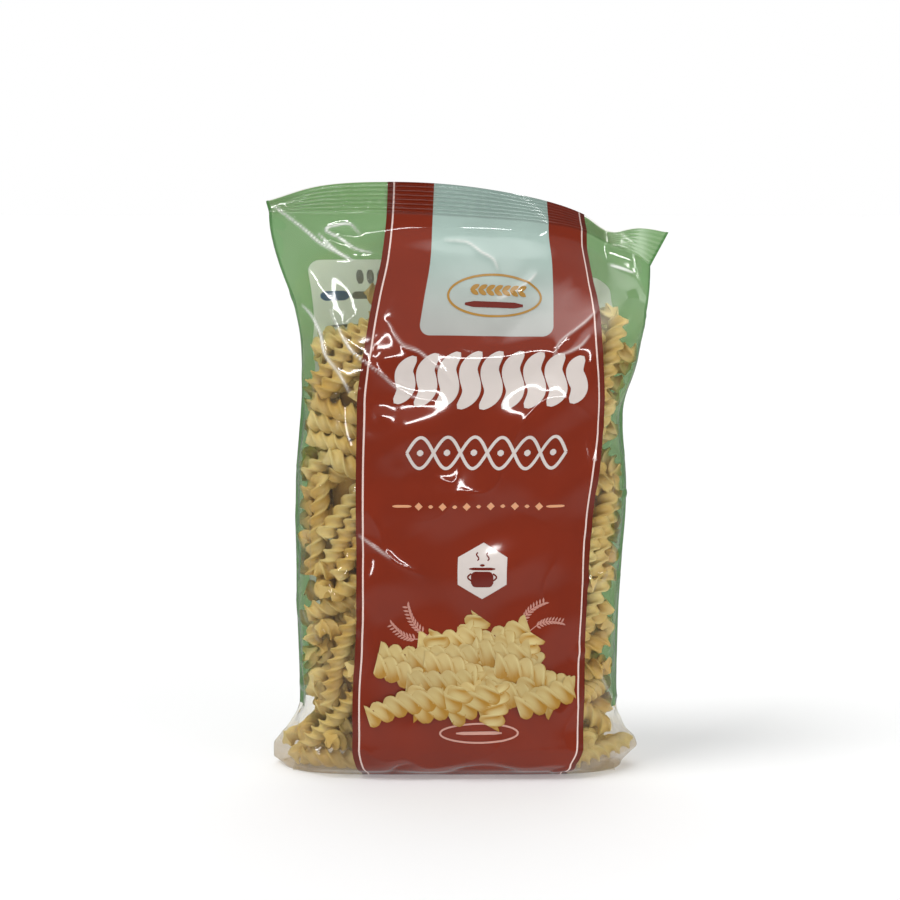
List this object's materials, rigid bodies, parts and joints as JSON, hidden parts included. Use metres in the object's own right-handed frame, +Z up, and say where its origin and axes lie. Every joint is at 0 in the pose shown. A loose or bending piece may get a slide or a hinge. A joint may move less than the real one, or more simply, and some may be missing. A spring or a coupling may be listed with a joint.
{
  "type": "pasta packet",
  "caption": "Filled pillow bag of clear printed film for dry spiral pasta, with a crimped seal across the top, a seam down the back and a base that it stands on",
  "frame": {"origin": "centre of the bounding box in X and Y, on the surface that the packet stands on", "axes": "+Z up, along the height of the packet; -Y is the printed front; +Y runs from front to back, the least size; +X to the right as seen from the front"},
  "size_m": [0.172, 0.0728, 0.2525],
  "materials": {
    "printed_film": "glossy printed film",
    "clear_film": "clear glossy film",
    "dry_pasta": "matte dry durum wheat dough"
  },
  "bodies": {
    "root": {"film_bag": "printed_film"}
  },
  "joints": []
}
